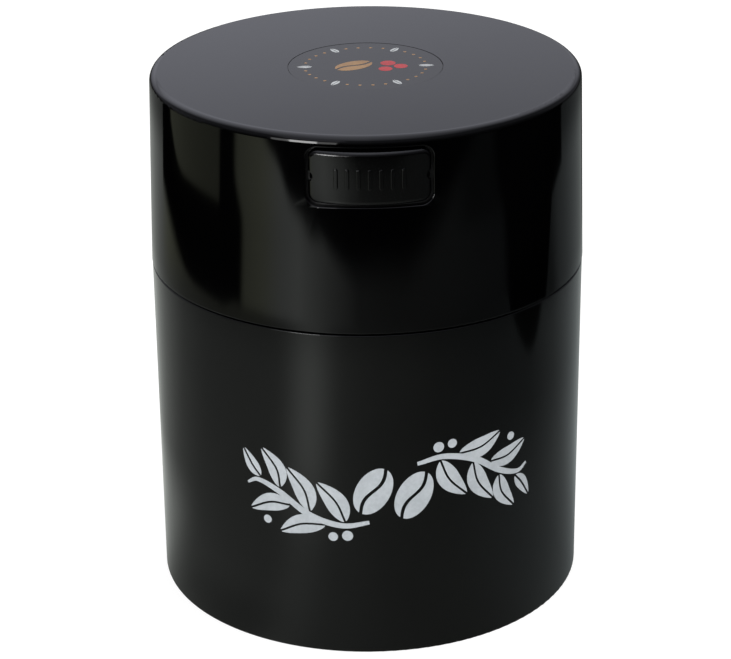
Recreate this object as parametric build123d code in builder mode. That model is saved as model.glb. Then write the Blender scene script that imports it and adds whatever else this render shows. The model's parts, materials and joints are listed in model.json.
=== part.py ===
"""Airtight coffee canister whose push-down lid holds a press button and an air valve."""

import os
from math import atan, cos, hypot, pi, sin, sqrt

from build123d import *

# Sizes are in millimetres. The origin is the centre of the foot, +Z is up and the button faces -Y.

# Canister, a thick moulded cup with a shoulder and a thinner neck
shoulder_radius = 60.0
shoulder_height = 94.5
foot_narrowing = 0.18
foot_edge_round = 0.3
foot_ring_width = 7.0
foot_recess = 2.4
foot_recess_slope = 1.6
floor_thickness = 2.8
floor_corner_round = 5.0
cavity_draft = 0.4
neck_height = 30.8
neck_wall = 1.7
neck_lip_round = 0.6
shoulder_round = 0.25

# Lid shell, a cap with a tapered skirt that comes down to the shoulder
seam_gap = 0.5
lid_overhang = 0.13
lid_narrowing = 1.38
skirt_wall = 1.8
lid_top_thickness = 2.6
lid_edge_round = 2.1
lid_foot_round = 0.3
lid_inner_round = 0.8
neck_clearance = 0.35
neck_root_clearance = 0.5
mechanism_room = 18.1

# Badge, a thin disc let into the lid's top
badge_radius = 21.1
badge_thickness = 0.4
badge_clearance = 0.1
badge_sink = 0.05
badge_edge_round = 0.12

# Inner lid, a plate with a plug wall that goes down into the neck
lid_seat_gap = 0.3
plate_thickness = 2.2
weld_gap = 0.05
plug_depth = 20.5
plug_clearance = 1.0
plug_wall = 1.8
plug_inner_round = 1.5
groove_height = 5.0
groove_depth = 1.6
groove_lip = 1.6
groove_backing = 1.6
groove_slope = 2.0
plate_ribs = 6
plate_rib_width = 1.3
plate_rib_height = 2.5

# Valve port in the middle of the inner lid, with a three-legged spider that guides the stem
port_radius = 5.0
seat_wall = 1.3
seat_height = 1.5
seat_contact_gap = 0.05
spider_legs = 3
spider_leg_width = 1.4
spider_hub_wall = 1.25

# Lip gasket round the plug
gasket_fit = 0.05
gasket_base_wall = 1.3
gasket_lips = 2
gasket_lip_root = 1.1
gasket_lip_rise = 1.5
gasket_lip_tip = 0.35
gasket_lip_clearance = 0.3

# Valve seal, a rubber disc that covers the port's seat
seal_margin = 0.7
seal_thickness = 2.0
seal_fit = 0.08
seal_edge_bevel = 0.3

# Valve stem, from its guide pin up to its tip in the lid's boss
guide_pin_radius = 1.5
guide_pin_running = 0.15
guide_pin_tip = 2.8
guide_pin_bevel = 0.3
barb_rise = 0.35
barb_height = 0.8
stem_flange_inset = 0.8
stem_flange_thickness = 1.2
stem_radius = 2.2
crosshead_radius = 1.6
crosshead_end_gap = 0.3
collar_gap = 0.2
collar_margin = 0.45
collar_thickness = 1.2
stem_top_room = 0.5
stem_tip_bevel = 0.4

# Slide, a curved wall behind the button's face with two ramped rails, and the button's travel
button_travel = 3.0
slide_running = 0.3
slide_wall = 2.0
slide_wall_gap = 0.15
slide_wall_room = 1.2
flange_reach = 2.4
rail_clearance = 1.5
rail_width = 4.0
rail_height = 8.4
web_thickness = 1.8
web_clearance = 3.0
tail_clearance = 1.5
tail_tie = 2.5
ramp_rise_per_run = 0.8
ramp_margin = 1.0
ramp_contact_gap = 0.05
ramp_low_margin = 0.5

# Guides for the slide, two walls and a back stop that stand on the inner lid
guide_wall = 2.0
guide_height = 6.7
guide_front_room = 6.0
guide_stop_gap = 0.2
guide_stop_wall = 2.0

# Pegs that join the button's face to its slide, outside the rails
peg_radius = 1.3
peg_clearance = 0.2
peg_margin = 0.35
peg_fit = 0.05
peg_tip = 1.0
peg_bevel = 0.3

# Button's bowed face, and the window in the skirt that it fills
button_gap = 0.65
face_bow = 36.0
face_stand = 1.1
face_crown = 0.06
face_lean = 0.52
face_root = 1.4
button_edge_round = 1.15
button_corner = 2.6
end_notch_radius = 1.6
end_notch_depth = 1.15
window_drop = 0.4
window_sill = 1.9
window_corner = 3.2
window_edge_round = 0.3

# Raised grip bars on the button's face
grip_bars = 7
grip_pitch = 2.9
grip_width = 1.1
grip_height = 5.6
grip_rise = 0.35
grip_edge_round = 0.2

# Inside of the lid shell: ribs on the inner lid's rim, keepers over the rails and the stem's boss
stop_ribs = 6
stop_rib_width = 1.6
stop_rib_depth = 1.6
keeper_width = 2.4
keeper_length = 30.0
boss_wall = 1.7
boss_running = 0.3
boss_room = 0.4

# Valve spring, round the boss and on the stem's collar
valve_spring_wire = 0.7
valve_spring_clearance = 0.65
valve_spring_pitch = 2.1

# Button spring, between the slide's wall and a stop that hangs from the lid's top
button_spring_wire = 0.7
button_spring_length = 16.0
button_spring_pitch = 3.2
spring_pin_radius = 2.1
spring_pin_length = 3.0
spring_pin_clearance = 0.55
spring_stop_margin = 0.6
spring_stop_wall = 2.0
spring_stop_gusset = 9.0
spring_stop_gusset_width = 1.6

# Both springs: play at the seats and between the closed end coils
spring_seat_gap = 0.1
closed_coil_gap = 0.5

overrun = 3.0

# Turns in degrees: half a turn, and the way that the button faces
half_turn = 180
front_angle = -90


# Radii and heights of the canister and the lid, from the foot up
foot_radius = shoulder_radius - foot_narrowing
lid_foot_radius = shoulder_radius + lid_overhang
lid_top_radius = lid_foot_radius - lid_narrowing
floor_top = foot_recess + floor_thickness
neck_top = shoulder_height + neck_height
plate_bottom = neck_top + lid_seat_gap
plate_top = plate_bottom + plate_thickness
plug_foot = plate_bottom - plug_depth
groove_bottom = plug_foot + groove_lip
groove_top = groove_bottom + groove_height
ceiling = plate_top + mechanism_room
lid_foot = shoulder_height + seam_gap
lid_top = ceiling + lid_top_thickness
window_height = mechanism_room - window_drop - window_sill
window_middle = ceiling - window_drop - window_height / 2


def skirt_outer(z):
    """Outer radius of the tapered skirt at a height."""
    return lid_foot_radius - lid_narrowing * (z - lid_foot) / (lid_top - lid_foot)


def skirt_inner(z):
    """Inner radius of the skirt at a height."""
    return skirt_outer(z) - skirt_wall


def slide_wall_outer(z):
    """Outer radius of the slide's curved wall at a height."""
    return skirt_inner(z) - slide_wall_gap


def slide_wall_inner(z):
    """Inner radius of the slide's curved wall at a height."""
    return slide_wall_outer(z) - slide_wall


def chord_place(radius, x):
    """How far in front of the axis a circle passes at a sideways place."""
    return sqrt(radius**2 - x**2)


# Radii that follow from the skirt and from the valve port
neck_top_radius = skirt_inner(neck_top) - neck_clearance
neck_root_radius = skirt_inner(lid_foot) - neck_root_clearance
bore_radius = neck_top_radius - neck_wall
plug_radius = bore_radius - plug_clearance
groove_floor_radius = plug_radius - groove_depth
spider_hub_radius = guide_pin_radius + guide_pin_running + spider_hub_wall
seal_radius = port_radius + seat_wall + seal_margin
stem_flange_radius = seal_radius - stem_flange_inset
boss_radius = stem_radius + boss_running + boss_wall
valve_spring_radius = boss_radius + valve_spring_clearance + valve_spring_wire / 2
collar_radius = valve_spring_radius + valve_spring_wire / 2 + collar_margin
button_spring_radius = spring_pin_radius + spring_pin_clearance + button_spring_wire / 2

# Sideways places of the slide's rails, the pegs and the button
rail_inner_half = seal_radius + rail_clearance
rail_outer_half = rail_inner_half + rail_width
rail_middle = (rail_inner_half + rail_outer_half) / 2
guide_inner_half = rail_outer_half + slide_running
peg_place = rail_outer_half + peg_clearance + peg_radius
button_width = 2 * (peg_place + peg_radius + peg_margin)
button_height = window_height - 2 * button_gap
button_radius = skirt_outer(window_middle)
face_axis_place = button_radius + face_stand - face_bow
window_width = button_width + 2 * button_gap
flange_half = window_width / 2 + flange_reach

# Heights of the slide and the valve
slide_bottom = plate_top + slide_running
slide_top = ceiling - slide_wall_room
rail_top = slide_bottom + rail_height
valve_lift = button_travel * ramp_rise_per_run
seat_top = plate_top + seat_height
seal_bottom = seat_top + seat_contact_gap
seal_top = seal_bottom + seal_thickness
stem_flange_bottom = seal_top + seat_contact_gap
stem_flange_top = stem_flange_bottom + stem_flange_thickness
pin_foot = plate_bottom - guide_pin_tip
barb_top = seal_bottom - seat_contact_gap

# Ramp, laid tangent to the crosshead's round underside at rest
ramp_angle = atan(ramp_rise_per_run)
ramp_top_front = ramp_margin + button_travel + crosshead_radius * sin(ramp_angle)
crosshead_height = (
    rail_top
    - ramp_rise_per_run * (ramp_margin + button_travel)
    + (crosshead_radius + ramp_contact_gap) * cos(ramp_angle)
    + ramp_rise_per_run * ramp_contact_gap * sin(ramp_angle)
)
crosshead_half = rail_outer_half - crosshead_end_gap
tail_top = rail_top - ramp_rise_per_run * (ramp_top_front + ramp_low_margin)
collar_bottom = crosshead_height + crosshead_radius + collar_gap
collar_top = collar_bottom + collar_thickness
stem_top = ceiling - valve_lift - stem_top_room
boss_foot = collar_top + valve_lift + boss_room

# Places in front of the axis and behind it
rail_front = slide_wall_inner(slide_bottom)
guide_front = chord_place(rail_front, guide_inner_half + guide_wall) - button_travel - guide_front_room
keeper_back = guide_front - keeper_length
web_end = seal_radius + button_travel + web_clearance
tail_end = seal_radius + tail_clearance + tail_tie
guide_back = tail_end + button_travel + guide_stop_gap + guide_stop_wall
button_spring_front = chord_place(slide_wall_inner(window_middle), button_spring_radius + button_spring_wire)
button_spring_back = button_spring_front - button_spring_length
spring_stop_half = button_spring_radius + button_spring_wire / 2 + spring_stop_margin

os.makedirs("parts", exist_ok=True)


def corner(sketch, place):
    """The corner of a sketch nearest to a place."""
    return sketch.vertices().sort_by_distance(place)[0]


def biarc(start, start_direction, end, end_direction):
    """Two arcs in a row that leave start and reach end in the given directions."""
    chord = end - start
    both = start_direction + end_direction
    bend = 2 * (1 - start_direction.dot(end_direction))
    along = chord.dot(both)
    reach = (sqrt(along**2 + bend * chord.dot(chord)) - along) / bend
    first_knee = start + start_direction * reach
    second_knee = end - end_direction * reach
    middle = (first_knee + second_knee) / 2
    TangentArc(start, middle, tangent=start_direction)
    TangentArc(middle, end, tangent=second_knee - first_knee)


def wind_spring(place, radius, wire, length, open_pitch):
    """Draw a compression spring's wire about the place's normal, with a closed coil at each end."""
    end_pitch = wire + closed_coil_gap
    rise = length - wire - 2 * spring_seat_gap
    open_rise = rise - 2 * end_pitch
    open_turns = max(1, round(open_rise / open_pitch))
    quarters = 4 * (open_turns + 2)
    points = []
    directions = []
    for quarter in range(quarters + 1):
        closed_start = min(quarter, 4)
        closed_end = max(quarter - quarters + 4, 0)
        opened = quarter - closed_start - closed_end
        height = end_pitch * (closed_start + closed_end) / 4 + open_rise * opened / open_turns / 4
        is_closed = quarter < 4 or quarter > quarters - 4
        climb = (end_pitch if is_closed else open_rise / open_turns) / (2 * pi)
        across = radius * cos(quarter * pi / 2)
        aside = radius * sin(quarter * pi / 2)
        point = Vector(across, aside, height + wire / 2 + spring_seat_gap)
        points.append(place.from_local_coords(point))
        ahead = place.from_local_coords(point + Vector(-aside, across, climb))
        directions.append((ahead - points[-1]).normalized())
    Line(points[0] - directions[0] * wire, points[0])
    for quarter in range(quarters):
        biarc(points[quarter], directions[quarter], points[quarter + 1], directions[quarter + 1])
    Line(points[-1], points[-1] + directions[-1] * wire)


def least_free_gap(path, wire):
    """Least free distance between the coils of a wire, on six points of each arc, four arcs or more apart."""
    points = [edge @ (step / 6) for edge in path.edges() for step in range(6)]
    return min(
        (points[later] - points[step]).length - wire
        for step in range(len(points))
        for later in range(step + 24, len(points))
    )


# Canister body: foot ring, tapered outer wall, shoulder, neck and a bore that a core can leave
with BuildPart() as canister_body:
    with BuildSketch(Plane.XZ) as cup_profile:
        with BuildLine():
            Polyline(
                (0, foot_recess),
                (foot_radius - foot_ring_width - foot_recess_slope, foot_recess),
                (foot_radius - foot_ring_width, 0),
                (foot_radius, 0),
                (shoulder_radius, shoulder_height),
                (neck_root_radius, shoulder_height),
                (neck_top_radius, neck_top),
                (bore_radius, neck_top),
                (bore_radius, shoulder_height),
                (bore_radius - cavity_draft, floor_top),
                (0, floor_top),
                close=True,
            )
        make_face()
        fillet(corner(cup_profile, (foot_radius, 0)), radius=foot_edge_round)
        fillet(corner(cup_profile, (bore_radius - cavity_draft, floor_top)), radius=floor_corner_round)
        fillet(corner(cup_profile, (shoulder_radius, shoulder_height)), radius=shoulder_round)
        fillet(corner(cup_profile, (neck_top_radius, neck_top)), radius=neck_lip_round)
        fillet(corner(cup_profile, (bore_radius, neck_top)), radius=neck_lip_round)
    revolve(axis=Axis.Z)


# Lid shell: cap with the button's window, stop ribs, keeper ribs, the stem's boss and a spring stop
with BuildPart() as lid_shell:
    with BuildSketch(Plane.XZ) as cap_profile:
        with BuildLine():
            Polyline(
                (0, lid_top),
                (lid_top_radius, lid_top),
                (lid_foot_radius, lid_foot),
                (lid_foot_radius - skirt_wall, lid_foot),
                (skirt_inner(ceiling), ceiling),
                (0, ceiling),
                close=True,
            )
        make_face()
        fillet(corner(cap_profile, (lid_top_radius, lid_top)), radius=lid_edge_round)
        fillet(corner(cap_profile, (lid_foot_radius, lid_foot)), radius=lid_foot_round)
        fillet(corner(cap_profile, (skirt_inner(ceiling), ceiling)), radius=lid_inner_round)
    revolve(axis=Axis.Z)
    with BuildSketch(Plane.XZ.offset(guide_front)):
        with Locations((0, window_middle)):
            RectangleRounded(window_width, window_height, window_corner)
    extrude(amount=lid_foot_radius - guide_front + overrun, mode=Mode.SUBTRACT)
    window_rim = [
        edge
        for edge in lid_shell.edges()
        if (edge @ 0.5).Y < -guide_front
        and abs((edge @ 0.5).X) < window_width / 2 + window_corner
        and abs((edge @ 0.5).Z - window_middle) < (window_height + window_corner) / 2
        and hypot((edge @ 0.5).X, (edge @ 0.5).Y) > skirt_outer((edge @ 0.5).Z) - skirt_wall / 4
    ]
    fillet(window_rim, radius=window_edge_round)
    with BuildSketch(Plane.XY.offset(lid_top)):
        Circle(badge_radius + badge_clearance)
    extrude(amount=-(badge_thickness + badge_sink), mode=Mode.SUBTRACT)
    into_ceiling = ceiling + lid_top_thickness / 3
    with BuildSketch(Plane.XY.offset(plate_top)):
        rib_place = skirt_inner(plate_top) - stop_rib_depth / 2
        with PolarLocations(rib_place, stop_ribs, front_angle + half_turn / stop_ribs):
            Rectangle(stop_rib_depth + skirt_wall / 2, stop_rib_width)
    extrude(amount=into_ceiling - plate_top)
    with BuildSketch(Plane.XY.offset(rail_top + slide_running)):
        with Locations((0, -(keeper_back + guide_front) / 2)):
            with GridLocations(2 * rail_middle, 0, 2, 1):
                Rectangle(keeper_width, keeper_length)
    extrude(amount=into_ceiling - rail_top - slide_running)
    with BuildSketch(Plane.XY.offset(boss_foot)):
        Circle(boss_radius)
        Circle(stem_radius + boss_running, mode=Mode.SUBTRACT)
    extrude(amount=ceiling - boss_foot)
    with BuildSketch(Plane.XY.offset(window_middle - spring_stop_half)):
        with Locations((0, -button_spring_back)):
            Rectangle(2 * spring_stop_half, spring_stop_wall, align=(Align.CENTER, Align.MIN))
    extrude(amount=into_ceiling - window_middle + spring_stop_half)
    with BuildSketch(Plane.YZ):
        with BuildLine():
            Polyline(
                (-button_spring_back + spring_stop_wall / 2, window_middle),
                (-button_spring_back + spring_stop_wall + spring_stop_gusset, ceiling),
                (-button_spring_back + spring_stop_wall + spring_stop_gusset, into_ceiling),
                (-button_spring_back + spring_stop_wall / 2, into_ceiling),
                close=True,
            )
        make_face()
    extrude(amount=spring_stop_gusset_width / 2, both=True)
    with BuildSketch(Plane.XZ.offset(button_spring_back - spring_stop_wall / 2)):
        with Locations((0, window_middle)):
            Circle(spring_pin_radius)
    extrude(amount=spring_stop_wall / 2 + spring_pin_length)


# Inner lid: plate welded into the skirt, plug wall with the gasket groove, guides and valve port
with BuildPart() as inner_lid:
    with BuildSketch(Plane.XZ) as plug_profile:
        with BuildLine():
            Polyline(
                (0, plate_top),
                (skirt_inner(plate_top) - weld_gap, plate_top),
                (skirt_inner(plate_bottom) - weld_gap, plate_bottom),
                (plug_radius, plate_bottom),
                (plug_radius, groove_top),
                (groove_floor_radius, groove_top),
                (groove_floor_radius, groove_bottom),
                (plug_radius, groove_bottom),
                (plug_radius, plug_foot),
                (groove_floor_radius - groove_backing, plug_foot),
                (groove_floor_radius - groove_backing, groove_top),
                (plug_radius - plug_wall, groove_top + groove_slope),
                (plug_radius - plug_wall, plate_bottom),
                (0, plate_bottom),
                close=True,
            )
        make_face()
        fillet(corner(plug_profile, (plug_radius - plug_wall, plate_bottom)), radius=plug_inner_round)
    revolve(axis=Axis.Z)
    with BuildSketch(Plane.XY.offset(plate_bottom - plate_rib_height)):
        Circle(port_radius + seat_wall)
        with PolarLocations((port_radius + plug_radius) / 2, plate_ribs, front_angle):
            Rectangle(plug_radius - plug_wall - port_radius, plate_rib_width)
        Circle(port_radius, mode=Mode.SUBTRACT)
    extrude(amount=plate_rib_height + plate_thickness / 2)
    with BuildSketch(Plane.XY.offset(plate_top)):
        Circle(port_radius + seat_wall)
        Circle(port_radius, mode=Mode.SUBTRACT)
    extrude(amount=seat_height)
    with BuildSketch(Plane.XY.offset(plate_bottom)):
        Circle(port_radius)
        with PolarLocations(port_radius / 2, spider_legs, front_angle):
            Rectangle(port_radius, spider_leg_width, mode=Mode.SUBTRACT)
        Circle(spider_hub_radius, mode=Mode.SUBTRACT)
        Circle(guide_pin_radius + guide_pin_running)
    extrude(amount=plate_thickness, mode=Mode.SUBTRACT)
    with BuildSketch(Plane.XY.offset(plate_top)):
        with Locations((0, (guide_back - guide_front) / 2)):
            Rectangle(2 * (guide_inner_half + guide_wall), guide_front + guide_back)
        with Locations((0, (guide_back - guide_stop_wall - guide_front - overrun) / 2)):
            Rectangle(
                2 * guide_inner_half,
                guide_front + overrun + guide_back - guide_stop_wall,
                mode=Mode.SUBTRACT,
            )
    extrude(amount=guide_height)


# Gasket: a soft ring in the plug's groove, with lips that lean up and out against the bore
with BuildPart() as lid_gasket:
    ring_inner = groove_floor_radius + gasket_fit
    ring_outer = ring_inner + gasket_base_wall
    ring_foot = groove_bottom + gasket_fit
    ring_height = groove_height - 2 * gasket_fit
    lip_reach = bore_radius - gasket_lip_clearance
    lip_pitch = (ring_height - gasket_lip_root) / gasket_lips
    with BuildSketch(Plane.XZ):
        with Locations((ring_inner, ring_foot)):
            Rectangle(gasket_base_wall, ring_height, align=(Align.MIN, Align.MIN))
        for lip in range(gasket_lips):
            root = ring_foot + lip_pitch * lip
            with BuildLine():
                Polyline(
                    (ring_inner, root),
                    (ring_outer, root),
                    (lip_reach, root + gasket_lip_rise - gasket_lip_tip),
                    (lip_reach, root + gasket_lip_rise),
                    (ring_outer, root + gasket_lip_root),
                    (ring_inner, root + gasket_lip_root),
                    close=True,
                )
            make_face()
    revolve(axis=Axis.Z)


# Badge: a thin round disc in the lid's recess
with BuildPart() as lid_badge:
    with BuildSketch(Plane.XY.offset(lid_top - badge_sink - badge_thickness)):
        Circle(badge_radius)
    extrude(amount=badge_thickness)
    fillet(lid_badge.faces().sort_by(Axis.Z)[-1].edges(), radius=badge_edge_round)


def bowed_section(rise):
    """Section through the button's face from its own axis, crowned, leaning out at the top, raised by rise."""
    low = window_middle - window_height / 2
    high = window_middle + window_height / 2
    low_front = skirt_outer(low) + face_stand + rise - face_lean - face_axis_place
    high_front = skirt_outer(high) + face_stand + rise + face_lean - face_axis_place
    with BuildLine() as outline:
        ThreePointArc((low_front, low), (face_bow + rise + face_crown, window_middle), (high_front, high))
        Polyline(
            (high_front, high),
            (face_bow - face_root, high),
            (face_bow - face_root, low),
            (low_front, low),
        )
    return outline.line


# The face bows more than the skirt does, about an axis of its own between the canister's and the face
face_plane = Plane(origin=(0, -face_axis_place, 0), x_dir=(1, 0, 0), z_dir=(0, -1, 0))
face_axis = Axis((0, -face_axis_place, 0), (0, 0, 1))


# Grip bars: seven slim bars that follow the button's bowed face
with BuildPart() as grip:
    with BuildSketch(face_plane):
        make_face(bowed_section(grip_rise).edges())
    revolve(axis=face_axis)
    with BuildSketch(Plane.XZ.offset(guide_front)):
        with Locations((0, window_middle)):
            with GridLocations(grip_pitch, 0, grip_bars, 1):
                SlotOverall(grip_height, grip_width, rotation=90)
    extrude(amount=lid_foot_radius - guide_front + overrun, mode=Mode.INTERSECT)
    bar_tops = [
        edge
        for edge in grip.edges()
        if hypot((edge @ 0.5).X, (edge @ 0.5).Y + face_axis_place) > face_bow + grip_rise / 3
    ]
    fillet(bar_tops, radius=grip_edge_round)


# Button's face: a bowed piece that fills the window, with the grip bars and two pegs behind
with BuildPart() as press_button:
    with BuildSketch(Plane.XZ.offset(guide_front)):
        with Locations((0, window_middle)):
            RectangleRounded(button_width, button_height, button_corner)
    extrude(amount=lid_foot_radius - guide_front + overrun)
    with BuildSketch(Plane.XZ):
        with BuildLine():
            Polyline(
                (0, window_middle - window_height / 2),
                (skirt_inner(window_middle - window_height / 2), window_middle - window_height / 2),
                (skirt_inner(window_middle + window_height / 2), window_middle + window_height / 2),
                (0, window_middle + window_height / 2),
                close=True,
            )
        make_face()
    revolve(axis=Axis.Z, mode=Mode.SUBTRACT)
    with BuildSketch(face_plane):
        make_face(bowed_section(0).edges())
        with BuildLine():
            Polyline(
                (0, window_middle - window_height / 2),
                (face_bow - face_root, window_middle - window_height / 2),
                (face_bow - face_root, window_middle + window_height / 2),
                (0, window_middle + window_height / 2),
                close=True,
            )
        make_face()
    revolve(axis=face_axis, mode=Mode.INTERSECT)
    fillet(press_button.faces().sort_by(Axis.Y)[0].edges(), radius=button_edge_round)
    with BuildSketch(Plane.XZ.offset(guide_front)):
        with Locations((0, window_middle)):
            with GridLocations(button_width + 2 * (end_notch_radius - end_notch_depth), 0, 2, 1):
                Circle(end_notch_radius)
    extrude(amount=lid_foot_radius - guide_front + overrun, mode=Mode.SUBTRACT)
    add(grip.part)
    peg_foot = chord_place(slide_wall_inner(window_middle), peg_place - peg_radius) - peg_tip
    peg_root = chord_place(button_radius, peg_place + peg_radius) - skirt_wall / 2
    with BuildSketch(Plane.XZ.offset(peg_foot)):
        with Locations((0, window_middle)):
            with GridLocations(2 * peg_place, 0, 2, 1):
                Circle(peg_radius)
    extrude(amount=peg_root - peg_foot)
    peg_tips = press_button.faces().filter_by(Axis.Y).sort_by(Axis.Y)[-2:]
    chamfer(peg_tips.edges(), length=peg_bevel)


# Slide: curved wall behind the button's face, two ramped rails, a web and a tie at the tail
with BuildPart() as button_slide:
    with BuildSketch(Plane.XZ):
        with BuildLine():
            Polyline(
                (slide_wall_outer(slide_bottom), slide_bottom),
                (slide_wall_outer(slide_top), slide_top),
                (slide_wall_inner(slide_top), slide_top),
                (slide_wall_inner(slide_bottom), slide_bottom),
                close=True,
            )
        make_face()
    revolve(axis=Axis.Z)
    with BuildSketch(Plane.XY.offset(slide_bottom)):
        Rectangle(2 * flange_half, lid_foot_radius, align=(Align.CENTER, Align.MAX))
    extrude(amount=slide_top - slide_bottom, mode=Mode.INTERSECT)
    with BuildSketch(Plane.YZ.offset(rail_inner_half)):
        with BuildLine():
            Polyline(
                (-rail_front, slide_bottom),
                (tail_end, slide_bottom),
                (tail_end, tail_top),
                (ramp_low_margin, tail_top),
                (-ramp_top_front, rail_top),
                (-rail_front, rail_top),
                close=True,
            )
        make_face()
    extrude(amount=rail_width)
    mirror(about=Plane.YZ)
    with BuildSketch(Plane.XY.offset(slide_bottom)):
        with Locations((0, tail_end)):
            Rectangle(2 * rail_outer_half, tail_tie, align=(Align.CENTER, Align.MAX))
    extrude(amount=tail_top - slide_bottom)
    with BuildSketch(Plane.XY.offset(slide_bottom)):
        with Locations((0, -web_end)):
            Rectangle(2 * rail_inner_half, rail_front - web_end, align=(Align.CENTER, Align.MAX))
    extrude(amount=web_thickness)
    with BuildSketch(Plane.XZ.offset(button_spring_front - spring_pin_length)):
        with Locations((0, window_middle)):
            Circle(spring_pin_radius)
    extrude(amount=spring_pin_length + slide_wall / 2)
    with BuildSketch(Plane.XZ.offset(guide_front)):
        with Locations((0, window_middle)):
            with GridLocations(2 * peg_place, 0, 2, 1):
                Circle(peg_radius + peg_fit)
    extrude(amount=lid_foot_radius - guide_front, mode=Mode.SUBTRACT)


# Button spring: pushes the slide out until its wall meets the skirt beside the window
with BuildPart() as button_spring:
    button_spring_place = Plane(
        origin=(0, -button_spring_front, window_middle),
        x_dir=(1, 0, 0),
        z_dir=(0, 1, 0),
    )
    with BuildLine() as button_spring_path:
        wind_spring(
            button_spring_place,
            button_spring_radius,
            button_spring_wire,
            button_spring_length,
            button_spring_pitch,
        )
    with BuildSketch(Plane(origin=button_spring_path.line @ 0, z_dir=button_spring_path.line % 0)):
        Circle(button_spring_wire / 2)
    sweep(path=button_spring_path.line)


# Valve spring: presses the stem down, between its collar and the lid's top round the boss
with BuildPart() as valve_spring:
    with BuildLine() as valve_spring_path:
        wind_spring(
            Plane.XY.offset(collar_top),
            valve_spring_radius,
            valve_spring_wire,
            ceiling - collar_top,
            valve_spring_pitch,
        )
    with BuildSketch(Plane(origin=valve_spring_path.line @ 0, z_dir=valve_spring_path.line % 0)):
        Circle(valve_spring_wire / 2)
    sweep(path=valve_spring_path.line)


# Valve stem: guide pin, barb, flange over the seal, cross head, spring collar and upper guide
with BuildPart() as valve_stem:
    with BuildSketch(Plane.XZ) as stem_profile:
        with BuildLine():
            Polyline(
                (0, pin_foot),
                (guide_pin_radius, pin_foot),
                (guide_pin_radius, barb_top - barb_height),
                (guide_pin_radius + barb_rise, barb_top),
                (guide_pin_radius, barb_top),
                (guide_pin_radius, stem_flange_bottom),
                (stem_flange_radius, stem_flange_bottom),
                (stem_flange_radius, stem_flange_top),
                (stem_radius, stem_flange_top),
                (stem_radius, collar_bottom),
                (collar_radius, collar_bottom),
                (collar_radius, collar_top),
                (stem_radius, collar_top),
                (stem_radius, stem_top),
                (0, stem_top),
                close=True,
            )
        make_face()
        chamfer(corner(stem_profile, (guide_pin_radius, pin_foot)), length=guide_pin_bevel)
        chamfer(corner(stem_profile, (stem_radius, stem_top)), length=stem_tip_bevel)
    revolve(axis=Axis.Z)
    with BuildSketch(Plane.YZ):
        with Locations((0, crosshead_height)):
            Circle(crosshead_radius)
    extrude(amount=crosshead_half, both=True)


# Valve seal: rubber disc held on the stem by its barb, over the port's seat
with BuildPart() as valve_seal:
    with BuildSketch(Plane.XY.offset(seal_bottom)):
        Circle(seal_radius)
        Circle(guide_pin_radius + seal_fit, mode=Mode.SUBTRACT)
    extrude(amount=seal_thickness)
    outer_rims = valve_seal.edges().filter_by(GeomType.CIRCLE).group_by(SortBy.RADIUS)[-1]
    chamfer(outer_rims, length=seal_edge_bevel)


for wound, path, wire in (
    ("button spring", button_spring_path, button_spring_wire),
    ("valve spring", valve_spring_path, valve_spring_wire),
):
    print(wound, "least gap between coils", round(least_free_gap(path, wire), 2), "mm")

canister_body.part.label = "canister_body"
lid_shell.part.label = "lid_shell"
inner_lid.part.label = "inner_lid"
lid_gasket.part.label = "lid_gasket"
lid_badge.part.label = "lid_badge"
press_button.part.label = "press_button"
button_slide.part.label = "button_slide"
button_spring.part.label = "button_spring"
valve_stem.part.label = "valve_stem"
valve_seal.part.label = "valve_seal"
valve_spring.part.label = "valve_spring"

export_step(canister_body.part, "parts/canister_body.step")
export_step(lid_shell.part, "parts/lid_shell.step")
export_step(inner_lid.part, "parts/inner_lid.step")
export_step(lid_gasket.part, "parts/lid_gasket.step")
export_step(lid_badge.part, "parts/lid_badge.step")
export_step(press_button.part, "parts/press_button.step")
export_step(button_slide.part, "parts/button_slide.step")
export_step(button_spring.part, "parts/button_spring.step")
export_step(valve_stem.part, "parts/valve_stem.step")
export_step(valve_seal.part, "parts/valve_seal.step")
export_step(valve_spring.part, "parts/valve_spring.step")
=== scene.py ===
import json
import math

import bmesh
import bpy
from mathutils import Matrix, Vector


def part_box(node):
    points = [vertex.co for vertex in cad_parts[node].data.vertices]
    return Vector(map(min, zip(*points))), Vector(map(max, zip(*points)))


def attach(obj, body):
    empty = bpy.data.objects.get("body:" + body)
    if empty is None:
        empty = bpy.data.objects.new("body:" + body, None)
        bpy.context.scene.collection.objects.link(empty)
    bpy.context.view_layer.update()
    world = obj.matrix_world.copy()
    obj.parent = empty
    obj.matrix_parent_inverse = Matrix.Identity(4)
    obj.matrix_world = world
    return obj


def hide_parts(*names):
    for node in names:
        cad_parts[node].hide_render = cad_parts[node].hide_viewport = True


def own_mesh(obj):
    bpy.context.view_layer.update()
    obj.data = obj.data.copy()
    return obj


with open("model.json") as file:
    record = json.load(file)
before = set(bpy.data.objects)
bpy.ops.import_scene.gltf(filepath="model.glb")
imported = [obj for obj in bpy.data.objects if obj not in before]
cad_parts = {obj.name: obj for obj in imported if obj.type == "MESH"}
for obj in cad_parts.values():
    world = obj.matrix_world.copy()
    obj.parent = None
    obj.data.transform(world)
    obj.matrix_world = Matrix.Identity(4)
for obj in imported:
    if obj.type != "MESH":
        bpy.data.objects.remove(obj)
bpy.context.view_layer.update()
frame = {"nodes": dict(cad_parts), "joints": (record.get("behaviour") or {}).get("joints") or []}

nodes = frame["nodes"]


# The camera: it stands three quarters of a metre off, a little left of the button,
# and looks down on the canister through a long lens.

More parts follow.
